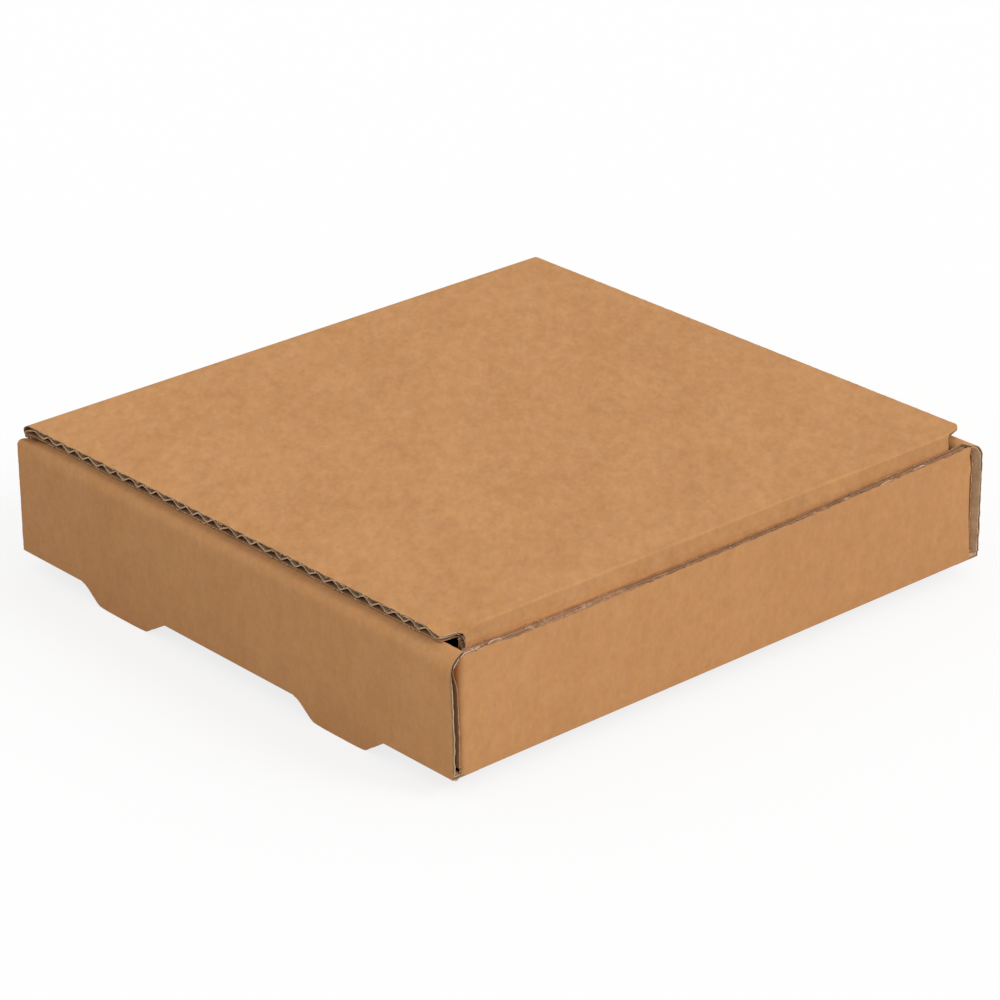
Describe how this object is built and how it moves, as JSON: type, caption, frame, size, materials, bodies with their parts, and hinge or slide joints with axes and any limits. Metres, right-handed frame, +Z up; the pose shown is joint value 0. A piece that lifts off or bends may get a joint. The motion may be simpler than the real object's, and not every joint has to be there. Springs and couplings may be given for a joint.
{
  "type": "literature mailer",
  "caption": "Flat square corrugated mailing box with rolled double side walls, base feet at the lock-tab slots and a hinged tuck-in lid with open fluted side edges.",
  "frame": {"origin": "under the middle of the box, at the level of the tips of the four feet", "axes": "+X along the front wall to the right, -Y towards the front where the lid tucks in, +Z up"},
  "size_m": [0.208, 0.1958, 0.0457],
  "materials": {
    "tray_board": "matte uncoated kraft",
    "lid_board": "matte uncoated kraft"
  },
  "bodies": {
    "tray": {"tray": "tray_board"},
    "lid": {"lid": "lid_board"}
  },
  "joints": [
    {"name": "lid_hinge", "type": "hinge", "parent": "tray", "child": "lid", "pos_m": [0, 0.09705, 0.04485], "axis": [-1, 0, 0], "range_deg": [0, 180]}
  ]
}
